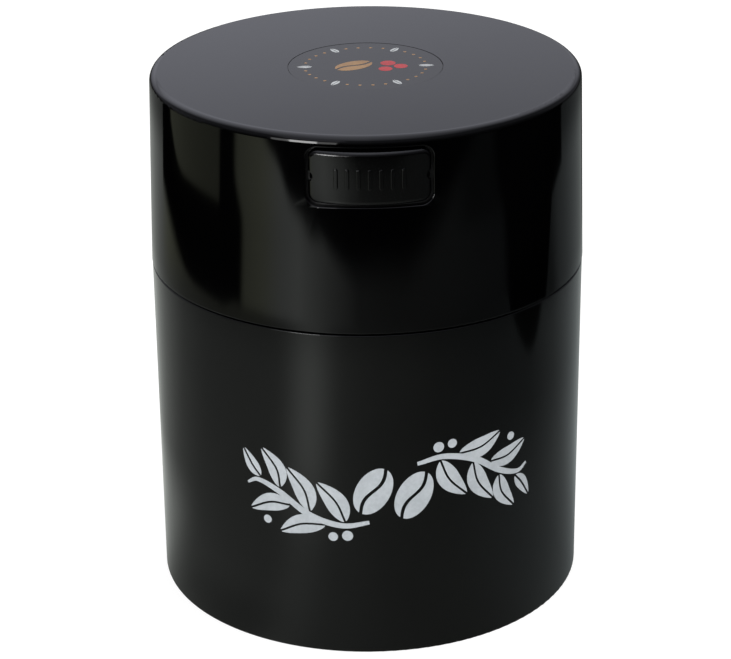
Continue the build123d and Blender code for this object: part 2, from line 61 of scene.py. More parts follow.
CAMERA_TARGET = Vector((0.0, 0.0, 0.07047))
CAMERA_DISTANCE = 0.73894
CAMERA_AZIMUTH = math.radians(-0.8)
CAMERA_ELEVATION = math.radians(23.5216)
CAMERA_ROLL = math.radians(-0.6022)
CAMERA_LENS, CAMERA_SENSOR = 128.148, 36.0
CAMERA_NEAR, CAMERA_FAR = 0.05, 20.0

# How far the camera aims to the right of its target and above it
AIM_RIGHT, AIM_UP = -0.00073, -0.00016


def outward(azimuth, elevation):
    """The way out from the canister. Azimuth 0 is the side of the button."""
    return Vector((
        math.sin(azimuth) * math.cos(elevation),
        -math.cos(azimuth) * math.cos(elevation),
        math.sin(elevation),
    ))


def put(name, data):
    """Makes an object of a mesh, a lamp or a camera, and puts it in the scene."""
    made = bpy.data.objects.new(name, data)
    bpy.context.scene.collection.objects.link(made)
    return made


camera = put("camera", bpy.data.cameras.new("camera"))
camera.data.sensor_width = CAMERA_SENSOR
camera.data.lens = CAMERA_LENS
camera.data.clip_start, camera.data.clip_end = CAMERA_NEAR, CAMERA_FAR
away = outward(CAMERA_AZIMUTH, CAMERA_ELEVATION)
facing = (-away).to_track_quat("-Z", "Y")
aim = CAMERA_TARGET + facing @ Vector((AIM_RIGHT, AIM_UP, 0.0))
camera.location = CAMERA_TARGET + away * CAMERA_DISTANCE
turned = (aim - camera.location).to_track_quat("-Z", "Y")
camera.rotation_mode = "QUATERNION"
camera.rotation_quaternion = turned @ Matrix.Rotation(CAMERA_ROLL, 3, "Z").to_quaternion()
bpy.context.scene.camera = camera


# The cup of the canister: one piece moulded in black plastic with a satin skin,
# which blurs what it mirrors. The mould was spark eroded to a very fine grain.

MM = 0.001
MICRON = 0.000001

# Each pattern's waves per metre, and the levels at which it starts to show and is full
DRIFT, DRIFT_LEVELS = 38.0, (0.3, 0.7)
HANDLING, HANDLING_LEVELS = 17.0, (0.35, 0.75)
WALL_WAVE = 55.0
GRAIN_SMUDGE_SHARE = 0.5


class Wire:
    """One output of a node. Arithmetic on wires adds Math nodes."""

    def __init__(self, finish, socket):
        self.finish = finish
        self.socket = socket

    def math(self, operation, *others):
        return self.finish.node("Math", {"operation": operation}, dict(enumerate((self, *others))))

    def __add__(self, other):
        return self.math("ADD", other)

    def __sub__(self, other):
        return self.math("SUBTRACT", other)

    def __rsub__(self, other):
        return self.finish.node("Math", {"operation": "SUBTRACT"}, {0: other, 1: self})

    def __neg__(self):
        return self.math("MULTIPLY", -1.0)

    def __mul__(self, other):
        return self.math("MULTIPLY", other)

    def __truediv__(self, other):
        return self.math("DIVIDE", other)

    def __pow__(self, other):
        return self.math("POWER", other)

    __radd__ = __add__
    __rmul__ = __mul__

    def step(self, low, high):
        """0 at low and past it, 1 at high and past it, and smooth between. Either may be the greater."""
        return self.finish.node(
            "MapRange", {"interpolation_type": "SMOOTHSTEP"}, {0: self, 1: low, 2: high, 3: 0.0, 4: 1.0}
        )


class Finish:
    """The nodes of a material or of the world."""

    def __init__(self, owner):
        owner.use_nodes = True
        self.owner = owner
        self.tree = owner.node_tree
        self.tree.nodes.clear()

    def node(self, kind, settings=None, sockets=None, output=0):
        """Adds a node, makes its settings, then fills its sockets with values or wires."""
        made = self.tree.nodes.new("ShaderNode" + kind)
        for name, value in (settings or {}).items():
            if name == "stops":
                self.set_stops(made.color_ramp, value)
            else:
                setattr(made, name, value)
        for name, value in (sockets or {}).items():
            if isinstance(value, Wire):
                self.tree.links.new(value.socket, made.inputs[name])
            else:
                made.inputs[name].default_value = value
        return Wire(self, made.outputs[output]) if len(made.outputs) else None

    @staticmethod
    def set_stops(ramp, stops):
        """Gives a ramp its stops, each a place from 0 to 1 and a level of grey."""
        while len(ramp.elements) > 1:
            ramp.elements.remove(ramp.elements[-1])
        for number, (place, grey) in enumerate(stops):
            stop = ramp.elements[0] if number == 0 else ramp.elements.new(place)
            stop.position = place
            stop.color = (grey, grey, grey, 1.0)

    def place(self):
        """The place on the piece, in metres."""
        return self.node("TexCoord", output="Object")

    def noise(self, where, scale, detail=2.0, roughness=0.5):
        return self.node(
            "TexNoise", {}, {"Vector": where, "Scale": scale, "Detail": detail, "Roughness": roughness}
        )

    def relief(self, height, depth, under=None):
        """A relief of this depth in metres, laid over the one under it."""
        sockets = {"Strength": 1.0, "Distance": depth, "Height": height}
        if under:
            sockets["Normal"] = under
        return self.node("Bump", {}, sockets)

    def blend(self, factor, first, second):
        """A colour between two colours, each a wire or red, green and blue."""
        first, second = (end if isinstance(end, Wire) else (*end, 1.0) for end in (first, second))
        return self.node("Mix", {"data_type": "RGBA"}, {0: factor, 6: first, 7: second}, output=2)

    def surface(self, shader, kind="OutputMaterial"):
        """Ends the nodes in a shader, and gives the material or the world."""
        self.node(kind, {}, {"Surface": shader})
        return self.owner

    def skin(self, **sockets):
        """Ends a material in one Principled shader."""
        named = {name.replace("_", " "): value for name, value in sockets.items()}
        return self.surface(self.node("BsdfPrincipled", {}, named))


def new_finish(name):
    return Finish(bpy.data.materials.new(name))


def dress(piece, material):
    """Gives a piece one material."""
    piece.data.materials.clear()
    piece.data.materials.append(material)


def moulded(name, dark, light, roughness, smudge, grain_size, grain_depth, wave_depth=0.0, ior=1.5):
    """Moulded plastic, sizes in metres. The colour drifts between dark and light, handling adds
    smudge to the roughness, and a slow wave of the wall may lie over the fine grain."""
    finish = new_finish(name)
    where = finish.place()
    drift = finish.noise(where, DRIFT, detail=3.0)
    handled = finish.noise(where, HANDLING, detail=4.0, roughness=0.6).step(*HANDLING_LEVELS)
    grain = finish.noise(where, 1.0 / grain_size, detail=3.0, roughness=0.6)
    skin = finish.relief(grain, grain_depth)
    if wave_depth:
        skin = finish.relief(finish.noise(where, WALL_WAVE, detail=1.0), wave_depth, under=skin)
    return finish.skin(
        Base_Color=finish.blend(drift.step(*DRIFT_LEVELS), dark, light),
        Roughness=roughness + smudge * handled + GRAIN_SMUDGE_SHARE * smudge * grain,
        Normal=skin,
        IOR=ior,
    )


satin_black = moulded(
    "satin_black",
    dark=(0.0007, 0.0008, 0.0008),
    light=(0.0012, 0.0013, 0.0012),
    roughness=0.085,
    smudge=0.03,
    grain_size=0.22 * MM,
    grain_depth=0.4 * MICRON,
)
dress(nodes["canister_body"], satin_black)


# The print on the cup: a coffee sprig with two beans, screen printed in one
# light grey ink that stands a few hundredths of a millimetre proud of the skin.

FOOT_RADIUS, SHOULDER_RADIUS, SHOULDER_HEIGHT = 59.82 * MM, 60.0 * MM, 94.5 * MM
INK_SUNK, INK_PROUD = -0.10 * MM, 0.04 * MM
PRINT_ARC, PRINT_HEIGHT, PRINT_SQUEEZE = 5.5 * MM, 48.4 * MM, 0.93
INK_IOR = 1.5
INK_MOTTLE, INK_CLOUD, INK_LEVELS = 900.0, 120.0, (0.35, 0.62)
INK_ROUGHENING, INK_RELIEF = 0.08, 4 * MICRON

# The sizes of marks are in millimetres, from the middle of the print. A stem's width follows
# a part of one swell, and the shares say where that part starts and how much it takes.
LEAST_INK = 0.02
LEAF_POINT, LEAF_FULLEST, LEAF_BLUNTNESS = 0.03, 0.45, 0.8
STEM_LEAST, STEM_SWELL = 0.5, 1.3
STEM_START_SHARE, STEM_LENGTH_SHARE = 0.15, 0.8
LEAF_GAP = 0.6
BEAN_LENGTH, BEAN_WIDTH, BEAN_GAP = 14.6, 9.4, 1.0
GROOVE_SWAY_SHARE = 0.1
BEAN_SLANT = math.radians(62)
BEAN_MIDDLES = [(-5.4, 0.9), (5.6, -0.9)]
SPRIG_STEM = [(-6.5, -9.0), (-14.0, -10.2), (-23.0, -7.4), (-31.0, -1.6), (-37.5, 1.0), (-41.0, -0.6)]
SPRIG_LEAVES = [
    ([(-13.0, -8.8), (-15.5, -2.6), (-20.5, 3.0)], 2.7),
    ([(-18.5, -10.2), (-25.0, -10.8), (-31.0, -14.0)], 2.5),
    ([(-22.6, -6.2), (-24.2, 0.4), (-28.8, 6.6)], 2.6),
    ([(-28.4, -5.2), (-34.0, -5.4), (-40.0, -8.6)], 2.3),
    ([(-31.0, 0.2), (-32.0, 5.8), (-36.2, 11.4)], 2.3),
    ([(-37.0, 2.4), (-39.4, 5.4), (-42.0, 10.0)], 1.6),
]
SPRIG_BERRIES = [((-12.4, -13.4), 1.5), ((-16.3, -13.9), 1.3), ((-35.0, -11.2), 1.2)]


def on_cup(across, up, out):
    """A place on the cup's skin, from the arc across, the height and how far it stands out."""
    height = PRINT_HEIGHT + up
    radius = FOOT_RADIUS + (SHOULDER_RADIUS - FOOT_RADIUS) * height / SHOULDER_HEIGHT
    turn = (PRINT_ARC + across) / radius
    return Vector(((radius + out) * math.sin(turn), -(radius + out) * math.cos(turn), height))


def flowing(knots, stations):
    """Points on a smooth line through the knots, each with the way across the line."""
    line = [Vector(knot) for knot in knots]
    line = [2 * line[0] - line[1], *line, 2 * line[-1] - line[-2]]
    found = []
    for station in stations:
        share = station * (len(line) - 3)
        first = min(int(share), len(line) - 4)
        t = share - first
        a, b, c, d = line[first:first + 4]
        slope, bend, twist = c - a, 2 * a - 5 * b + 4 * c - d, 3 * b - 3 * c + d - a
        point = b + 0.5 * t * (slope + t * (bend + t * twist))
        along = slope + t * (2 * bend + 3 * t * twist)
        found.append((point, Vector((-along.y, along.x)).normalized()))
    return found


def put_mesh(name, mesh):
    """Makes an object of a bmesh, and frees it."""
    data = bpy.data.meshes.new(name)
    mesh.to_mesh(data)
    mesh.free()
    return put(name, data)


class Print:
    """Marks of one ink on one surface, drawn in millimetres. Each mark is closed all round."""

    def __init__(self, place, sunk, proud):
        """place gives a point from the ways across, up and out, and the ink goes from sunk to proud."""
        self.mesh = bmesh.new()
        self.place = place
        self.sunk = sunk
        self.proud = proud

    def mark(self, knots, near, far, count=22, columns=4):
        """One mark between near(t) and far(t) off a smooth line, as t goes from 0 to 1 along it."""
        stations = [0.5 - 0.5 * math.cos(math.pi * number / (count - 1)) for number in range(count)]
        rings = []
        for t, (point, across) in zip(stations, flowing(knots, stations)):
            row = [
                point + across * (near(t) + (far(t) - near(t)) * column / columns)
                for column in range(columns + 1)
            ]
            top = [self.place(spot.x * MM, spot.y * MM, self.proud) for spot in row]
            base = [self.place(spot.x * MM, spot.y * MM, self.sunk) for spot in reversed(row)]
            rings.append([self.mesh.verts.new(corner) for corner in top + base])
        size = len(rings[0])
        for first, second in zip(rings, rings[1:]):
            for corner in range(size):
                after = (corner + 1) % size
                self.mesh.faces.new((first[corner], second[corner], second[after], first[after]))
        self.mesh.faces.new(rings[0])
        self.mesh.faces.new(list(reversed(rings[-1])))

    def stroke(self, knots, width, count):
        self.mark(knots, lambda t: -width(t) / 2, lambda t: width(t) / 2, count)

    def leaf(self, rib, width, gap):
        """Two half blades that swell from a point, one each side of a bare midrib."""
        power = math.log(0.5) / math.log(LEAF_FULLEST)

        def blade(t):
            return LEAF_POINT + width * math.sin(math.pi * t ** power) ** LEAF_BLUNTNESS

        self.mark(rib, lambda t: gap / 2, lambda t: gap / 2 + blade(t))
        self.mark(rib, lambda t: -gap / 2 - blade(t), lambda t: -gap / 2)

    def bean(self, middle, slant, length, width, gap):
        """Two halves of an oval, one each side of a bare curved groove."""
        centre = Vector(middle)
        full = math.sqrt(1 - (gap / width) ** 2)
        reach = Vector((math.cos(slant), math.sin(slant))) * length * full / 2
        spine = [centre - reach, centre, centre + reach]

        def outline(t):
            return width / 2 * math.sqrt(1 - (full * (2 * t - 1)) ** 2)

        def groove(t, side):
            return GROOVE_SWAY_SHARE * width * math.sin(2 * math.pi * t) + side * gap / 2

        def upper(t):
            return max(outline(t), groove(t, 1) + LEAST_INK)

        def lower(t):
            return min(-outline(t), groove(t, -1) - LEAST_INK)

        self.mark(spine, lambda t: groove(t, 1), upper, count=40)
        self.mark(spine, lower, lambda t: groove(t, -1), count=40)

    def dot(self, middle, radius):
        centre, reach = Vector(middle), Vector((radius, 0))

        def half(t):
            return max(LEAST_INK, radius * math.sqrt(max(0.0, 1 - (2 * t - 1) ** 2)))

        self.mark([centre - reach, centre, centre + reach], lambda t: -half(t), half, count=17)

    def done(self, name, material, body):
        """Makes one piece of the marks, which rides on a body."""
        bmesh.ops.recalc_face_normals(self.mesh, faces=self.mesh.faces)
        piece = put_mesh(name, self.mesh)
        dress(piece, material)
        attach(piece, body)


def ink(name, thin, full, roughness):
    """Printing ink: mottled between the colours that it has where it is thin and where it is full."""
    finish = new_finish(name)
    where = finish.place()
    mottle = finish.noise(where, INK_MOTTLE, detail=3.0, roughness=0.6)
    cloud = finish.noise(where, INK_CLOUD)
    thick = (mottle * 0.5 + cloud * 0.5).step(*INK_LEVELS)
    return finish.skin(
        Base_Color=finish.blend(thick, thin, full),
        Roughness=roughness + INK_ROUGHENING * mottle,
        Normal=finish.relief(mottle, INK_RELIEF),
        IOR=INK_IOR,
    )


def stem_width(t):
    return STEM_LEAST + STEM_SWELL * math.sin(math.pi * (STEM_START_SHARE + STEM_LENGTH_SHARE * t))


def half_turned(place, side):
    """A place of the left sprig, or the same place of the right one, which is the left turned round."""
    return place[0] * side, place[1] * side * PRINT_SQUEEZE


sprig = Print(on_cup, INK_SUNK, INK_PROUD)
for side in (1, -1):
    sprig.stroke([half_turned(knot, side) for knot in SPRIG_STEM], stem_width, count=60)
    for rib, width in SPRIG_LEAVES:
        sprig.leaf([half_turned(knot, side) for knot in rib], width, LEAF_GAP)
    for middle, radius in SPRIG_BERRIES:
        sprig.dot(half_turned(middle, side), radius)
for middle in BEAN_MIDDLES:
    sprig.bean(middle, BEAN_SLANT, BEAN_LENGTH, BEAN_WIDTH, BEAN_GAP)
pale_ink = ink("pale_ink", thin=(0.42, 0.455, 0.48), full=(0.50, 0.535, 0.565), roughness=0.42)
sprig.done("printed_sprig", pale_ink, "canister")


# The lid's shell: a cap moulded in the same black, but from a polished mould, so
# that it mirrors the studio sharply. A faint unevenness bends the reflections.

gloss_black = moulded(
    "gloss_black",
    dark=(0.0003, 0.0003, 0.0004),
    light=(0.0006, 0.0006, 0.0007),
    roughness=0.045,
    smudge=0.03,
    grain_size=0.5 * MM,
    grain_depth=0.2 * MICRON,
    wave_depth=2 * MICRON,
)
dress(nodes["lid_shell"], gloss_black)


# The badge: a thin disc of satin film let into the top, with a small generic
# print in tan, red and pale ink on its black.

BADGE_SUNK, BADGE_PROUD = -0.03 * MM, 0.02 * MM

# The sizes of marks are in millimetres, from the middle of the disc. A leaf stands in place
# of every fifth dot of the ring.
BADGE_BEAN = (-3.2, 0.6)
BADGE_BEAN_SLANT = math.radians(35)
BADGE_BEAN_LENGTH, BADGE_BEAN_WIDTH, BADGE_BEAN_GAP = 11.5, 7.0, 0.8
BADGE_BERRIES = [((6.2, 2.4), 2.1), ((9.6, -0.4), 1.9), ((5.4, -2.6), 1.9)]
RING_RADIUS, RING_DOTS, RING_LEAVES = 16.6, 30, 6
RING_DOT_RADIUS = 0.45
RING_LEAF_REACH, RING_LEAF_WIDTH, RING_LEAF_GAP = 2.0, 0.75, 0.25

badge_film = moulded(
    "badge_film",
    dark=(0.0030, 0.0028, 0.0028),
    light=(0.0045, 0.0042, 0.0042),
    roughness=0.12,
    smudge=0.04,
    grain_size=0.2 * MM,
    grain_depth=0.6 * MICRON,
    ior=1.44,
)
dress(nodes["lid_badge"], badge_film)
badge_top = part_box("lid_badge")[1].z


def on_badge(across, up, out):
    return Vector((across, up, badge_top + out))


def round_ring(number, count):
    """The way out to one of the places that are spaced evenly round the disc."""
    turn = 2 * math.pi * number / count
    return Vector((math.cos(turn), math.sin(turn)))


tan_marks = Print(on_badge, BADGE_SUNK, BADGE_PROUD)
tan_marks.bean(BADGE_BEAN, BADGE_BEAN_SLANT, BADGE_BEAN_LENGTH, BADGE_BEAN_WIDTH, BADGE_BEAN_GAP)
for number in range(RING_DOTS):
    if number % (RING_DOTS // RING_LEAVES):
        tan_marks.dot(RING_RADIUS * round_ring(number, RING_DOTS), RING_DOT_RADIUS)
tan_ink = ink("tan_ink", thin=(0.25, 0.135, 0.05), full=(0.32, 0.18, 0.07), roughness=0.40)
tan_marks.done("badge_bean", tan_ink, "lid")

red_marks = Print(on_badge, BADGE_SUNK, BADGE_PROUD)
for middle, radius in BADGE_BERRIES:
    red_marks.dot(middle, radius)
red_ink = ink("red_ink", thin=(0.33, 0.015, 0.018), full=(0.42, 0.022, 0.026), roughness=0.40)
red_marks.done("badge_berries", red_ink, "lid")

pale_marks = Print(on_badge, BADGE_SUNK, BADGE_PROUD)
for number in range(RING_LEAVES):
    way = round_ring(number, RING_LEAVES)
    reaches = (RING_RADIUS - RING_LEAF_REACH, RING_RADIUS, RING_RADIUS + RING_LEAF_REACH)
    pale_marks.leaf([way * reach for reach in reaches], RING_LEAF_WIDTH, RING_LEAF_GAP)
white_ink = ink("white_ink", thin=(0.42, 0.44, 0.45), full=(0.52, 0.54, 0.55), roughness=0.40)
pale_marks.done("badge_leaves", white_ink, "lid")


# The press button: moulded like the lid, with a bowed face and a row of low
# grip bars. Fingers have dulled it a little.

button_black = moulded(
    "button_black",
    dark=(0.0004, 0.0004, 0.0005),
    light=(0.0008, 0.0008, 0.0008),
    roughness=0.10,
    smudge=0.05,
    grain_size=0.4 * MM,
    grain_depth=0.6 * MICRON,
    wave_depth=1 * MICRON,
)
dress(nodes["press_button"], button_black)


# The plate with the plug, the slide behind the button and the valve's stem: dull
# black plastic, straight from a plain mould, which leaves a deeper grain.

dull_black = moulded(
    "dull_black",
    dark=(0.010, 0.010, 0.0105),
    light=(0.016, 0.016, 0.0165),
    roughness=0.46,
    smudge=0.08,
    grain_size=0.3 * MM,
    grain_depth=3 * MICRON,
)
for name in ("inner_lid", "button_slide", "valve_stem"):
    dress(nodes[name], dull_black)


# The ring round the plug and the disc on the valve: soft grey silicone rubber,
# pressed into shape, a little dusty on the skin.

RUBBER_DARK, RUBBER_LIGHT = (0.16, 0.17, 0.175), (0.22, 0.23, 0.235)
RUBBER_IOR = 1.43
RUBBER_DUST, RUBBER_CLOUD, RUBBER_LEVELS = 420.0, 60.0, (0.35, 0.65)
RUBBER_ROUGHNESS, DUST_ROUGHENING, DUST_RELIEF = 0.52, 0.2, 6 * MICRON


def silicone():
    finish = new_finish("grey_silicone")
    where = finish.place()
    dust = finish.noise(where, RUBBER_DUST, detail=4.0, roughness=0.65)
    cloud = finish.noise(where, RUBBER_CLOUD)
    dusted = (dust * 0.6 + cloud * 0.4).step(*RUBBER_LEVELS)
    return finish.skin(
        Base_Color=finish.blend(dusted, RUBBER_DARK, RUBBER_LIGHT),
        Roughness=RUBBER_ROUGHNESS + DUST_ROUGHENING * dust,
        Normal=finish.relief(dust, DUST_RELIEF),
        IOR=RUBBER_IOR,
    )


grey_silicone = silicone()
for name in ("lid_gasket", "valve_seal"):
    dress(nodes[name], grey_silicone)


# The two springs: wound from drawn stainless wire, with faint stains and the die's
# fine marks on it.

STEEL_DARK, STEEL_LIGHT = (0.52, 0.51, 0.49), (0.66, 0.65, 0.63)
STEEL_STAIN, DIE_MARKS = 700.0, 5200.0
STEEL_ROUGHNESS, STAIN_ROUGHENING, DIE_MARK_DEPTH = 0.22, 0.14, 2 * MICRON


def drawn_steel():
    finish = new_finish("drawn_steel")
    where = finish.place()
    stain = finish.noise(where, STEEL_STAIN, detail=3.0, roughness=0.6)
    marks = finish.noise(where, DIE_MARKS)
    return finish.skin(
        Base_Color=finish.blend(stain, STEEL_DARK, STEEL_LIGHT),
        Metallic=1.0,
        Roughness=STEEL_ROUGHNESS + STAIN_ROUGHENING * stain,
        Normal=finish.relief(marks, DIE_MARK_DEPTH),
    )


steel = drawn_steel()
travel = {joint["name"]: joint["range_m"][1] for joint in frame["joints"]}
for coil_name, node, joint, axis in (
    ("button_coil", "button_spring", "button_press", Vector((0, 1, 0))),
    ("valve_coil", "valve_spring", "valve_lift", Vector((0, 0, 1))),
):
    coil = put(coil_name, nodes[node].data.copy())
    low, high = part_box(node)
    squeezed = 1 - travel[joint] / (high - low).dot(axis)
    dress(coil, steel)
    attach(coil, "lid")
    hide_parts(node)
    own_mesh(coil)


# The studio floor: a plain pale board that shows as white and keeps the shadow
# of the canister. The gloss hardly sees it.

FLOOR_RADIUS, FLOOR_HEIGHT = 6.0, -0.00002
FLOOR_GLOW = 0.80
MIRRORED_GLOW = 0.04
WHITE = (1.0, 1.0, 1.0, 1.0)
BOARD = (0.80, 0.80, 0.80, 1.0)
SHADED_BOARD = (0.35, 0.35, 0.35, 1.0)


def round_sheet(name, radius, height, sides=96):
    """A flat round sheet under the canister, which belongs to the stage."""
    mesh = bmesh.new()
    turns = [2 * math.pi * side / sides for side in range(sides)]
    rim = [(radius * math.cos(turn), radius * math.sin(turn), height) for turn in turns]
    mesh.faces.new([mesh.verts.new(corner) for corner in rim])
    made = put_mesh(name, mesh)
    return made


def choice(finish, ray, otherwise, seen):
    """One shader for a kind of ray and another for all the rest."""
    is_ray = finish.node("LightPath", output="Is " + ray + " Ray")
    return finish.node("MixShader", {}, {0: is_ray, 1: otherwise, 2: seen})


paint = new_finish("floor_paint")
matt = paint.node("BsdfDiffuse", {}, {"Color": BOARD})
mirrored = paint.node("Emission", {}, {"Color": WHITE, "Strength": MIRRORED_GLOW})
glowing = paint.node("Emission", {}, {"Color": WHITE, "Strength": FLOOR_GLOW})
shaded = paint.node("BsdfDiffuse", {}, {"Color": SHADED_BOARD})
watched = paint.node("AddShader", {}, {0: glowing, 1: shaded})
lit = choice(paint, "Glossy", matt, mirrored)
floor = round_sheet("floor", FLOOR_RADIUS, FLOOR_HEIGHT)
dress(floor, paint.surface(choice(paint, "Camera", lit, watched)))


# The reflector mat: only the gloss of the plastic sees it. Its light and dark
# fields lie round the canister as a studio's panels, flags and pale board would.

MAT_RADIUS = 1.4

# Turns go round the canister from the button, in degrees, and reaches go out from
# its axis, in millimetres. The far field is a large panel, the near one the pale board.
FAR_FIELD = [
    (-180, 0.0), (-65, 0.0), (-62.5, 0.33), (-51, 0.48), (-34, 0.76), (-19, 0.37), (-5, 0.12),
    (12, 0.09), (38, 0.08), (68, 0.055), (72.5, 0.0), (180, 0.0),
]
NEAR_FIELD = [
    (-180, 0.60), (-147, 0.58), (-124, 0.36), (-104, 0.245), (-85, 0.225), (-50, 0.28), (-9, 0.25),
    (5, 0.19), (33, 0.125), (60, 0.10), (82, 0.10), (103, 0.155), (130, 0.29), (150, 0.36), (180, 0.60),
]

# The panel ends on a curve, near in the middle and further out to both sides. A bend is the
# turn where it starts, the span over which it grows to 1, and its power.
PANEL_NEAREST = 378.0
PANEL_LEFT_OUT, PANEL_LEFT_BEND = 135.0, (-8.0, -38.0, 1.35)
PANEL_RIGHT_OUT, PANEL_RIGHT_BEND = 160.0, (16.0, 38.0, 1.5)
PANEL_DENT, PANEL_DENT_PLACE = 20.0, (-42.5, -25.0, 4.0)
PANEL_LEAN, PANEL_LEAN_REACHES = 5.0, (405.0, 480.0)
PANEL_BLUR, PANEL_BLUR_GROWTH, PANEL_BLUR_TURNS = 14.0, 22.0, (-25.0, 10.0)
PANEL_FLAG, PANEL_FLAG_PATCH = 0.45, (46.0, 75.0, 5.0, 400.0, 440.0)

# A small panel stands on the left, beyond a dark gap, and its near edge bends out at the back.
SIDE_PANEL_GLOW, SIDE_PANEL_TURNS = 0.17, (-119.5, -78.6)
SIDE_PANEL_NEAREST, SIDE_PANEL_BLUR = 424.0, 4.0
SIDE_PANEL_OUT, SIDE_PANEL_BEND = 70.0, (-100.0, -20.0, 3.5)

# The pale board ends nearer beside the canister than behind it, and nearest on the right.
LEFT_END = 307.0
LEFT_END_OUT, LEFT_END_BEND = 40.0, (-92.0, -27.0, 2.0)
LEFT_END_STEP, LEFT_END_STEP_TURNS = 10.0, (-76.0, -66.0)
RIGHT_END = 226.0
RIGHT_END_TURN, RIGHT_END_SPAN, RIGHT_END_CURVE = 84.0, 22.0, 0.34
RIGHT_END_RISE, RIGHT_END_RISE_TURN = 2.5, 106.0
BEHIND_OUT, LEFT_BEHIND_TURNS, RIGHT_BEHIND_TURNS = 600.0, (-129.0, -131.5), (117.0, 120.0)
LEFT_TO_RIGHT_TURNS = (70.0, 73.0)
BOARD_BLUR, BOARD_BLUR_GROWTH, BOARD_BLUR_TURNS = 5.0, 14.0, (-98.0, -120.0)
BOARD_FADES = [(0.38, (235.0, 290.0)), (0.35, (400.0, 480.0))]

# A bright strip runs out over the board on the left of the button.
STRIP_TURN, STRIP_WIDTH = -28.0, 7.0
STRIP_GLOW, STRIP_GLOW_GROWTH, STRIP_GLOW_REACHES = 0.14, 0.46, (100.0, 195.0)

# Glows are added to the board and flags dim it, each by a share over a patch: its first and
# last turn, how softly it ends, and the reaches where it starts and where it is full.
LOW_GLOWS = [(0.09, (35.0, 150.0, 28.0, 200.0, 110.0)), (0.25, (-150.0, -90.0, 15.0, 130.0, 85.0))]
FLAGS = [
    (0.85, (154.0, 176.0, 2.0, 270.0, 300.0)),
    (0.28, (-75.0, -28.0, 9.0, 90.0, 65.0)),
    (0.45, (96.0, 107.0, 5.0, 240.0, 290.0)),
]

# The light is warm on one patch to the left, and cool between two turns on the right.
WARM_PATCH, COOL_PLACE = (-125.0, -48.0, 8.0, 260.0, 330.0), (45.0, 150.0, 30.0)
WARM, PLAIN, COOL = (1.02, 1.07, 0.80), (0.97, 1.02, 0.97), (0.91, 1.01, 1.02)

mat = round_sheet("reflector_mat", MAT_RADIUS, 0.0)
for ray in ("camera", "diffuse", "transmission", "volume_scatter", "shadow"):
    setattr(mat, "visible_" + ray, False)
fields = new_finish("mat_fields")
east, north = (fields.node("SeparateXYZ", {}, {0: fields.place()}, output=axis) for axis in ("X", "Y"))
turn = east.math("ARCTAN2", -north) * (180 / math.pi)
reach = (east * east + north * north) ** 0.5 / MM


def field(stops, turned):
    """The brightness that the stops give for a turn from -180 to 180 degrees."""
    places = [((degrees + 180) / 360, grey) for degrees, grey in stops]
    return fields.node("ValToRGB", {"stops": places}, {0: (turned + 180.0) / 360.0})


def above(value):
    """The value where it is above zero, and zero elsewhere."""
    return value.math("MAXIMUM", 0.0)


def between(value, low, high, soft=1.0):
    """1 between two values and 0 outside them."""
    return value.step(low - soft, low + soft) * value.step(high + soft, high - soft)


def inside(end, soft):
    """1 nearer to the canister than an edge and 0 beyond it, or the reverse if soft is negative."""
    return ((end - reach) / soft).step(-1.0, 1.0)


def patch(first, last, soft, start, full):
    """1 on a patch of the mat and 0 elsewhere."""
    return between(turn, first, last, soft) * reach.step(start, full)


def bend(start, span, power):
    """0 up to a turn, and growing past it in the direction of the span."""
    return above((turn - start) / span) ** power


panel_end = PANEL_NEAREST + PANEL_LEFT_OUT * bend(*PANEL_LEFT_BEND)
panel_end = panel_end + PANEL_RIGHT_OUT * bend(*PANEL_RIGHT_BEND)
panel_end = panel_end - PANEL_DENT * between(turn, *PANEL_DENT_PLACE)
panel_blur = PANEL_BLUR + PANEL_BLUR_GROWTH * turn.step(*PANEL_BLUR_TURNS)
leaning = turn + PANEL_LEAN * reach.step(*PANEL_LEAN_REACHES)
far = field(FAR_FIELD, leaning) * inside(panel_end, panel_blur)
far = far * (1.0 - PANEL_FLAG * patch(*PANEL_FLAG_PATCH))

side_end = SIDE_PANEL_NEAREST + SIDE_PANEL_OUT * bend(*SIDE_PANEL_BEND)
side_panel = between(turn, *SIDE_PANEL_TURNS) * inside(side_end, -SIDE_PANEL_BLUR)
far = far + SIDE_PANEL_GLOW * side_panel

left_end = LEFT_END + LEFT_END_OUT * bend(*LEFT_END_BEND)
left_end = left_end + LEFT_END_STEP * turn.step(*LEFT_END_STEP_TURNS)
left_end = left_end + BEHIND_OUT * turn.step(*LEFT_BEHIND_TURNS)
off_turn = (turn - RIGHT_END_TURN).math("ABSOLUTE").math("MINIMUM", RIGHT_END_SPAN)
right_end = RIGHT_END + RIGHT_END_CURVE * off_turn ** 2.0
right_end = right_end + RIGHT_END_RISE * above(turn - RIGHT_END_RISE_TURN)
right_end = right_end + BEHIND_OUT * turn.step(*RIGHT_BEHIND_TURNS)
board_end = left_end + (right_end - left_end) * turn.step(*LEFT_TO_RIGHT_TURNS)
board_blur = BOARD_BLUR + BOARD_BLUR_GROWTH * turn.step(*BOARD_BLUR_TURNS)

strip = (((turn - STRIP_TURN) / STRIP_WIDTH) ** 2.0 * -0.5).math("EXPONENT")
strip = strip * (STRIP_GLOW + STRIP_GLOW_GROWTH * reach.step(*STRIP_GLOW_REACHES))
near = field(NEAR_FIELD, turn) + strip
for share, place in LOW_GLOWS:
    near = near + share * patch(*place)
fade = 1.0
for share, reaches in BOARD_FADES:
    fade = fade - share * reach.step(*reaches)
near = near * fade
for share, place in FLAGS:
    near = near * (1.0 - share * patch(*place))

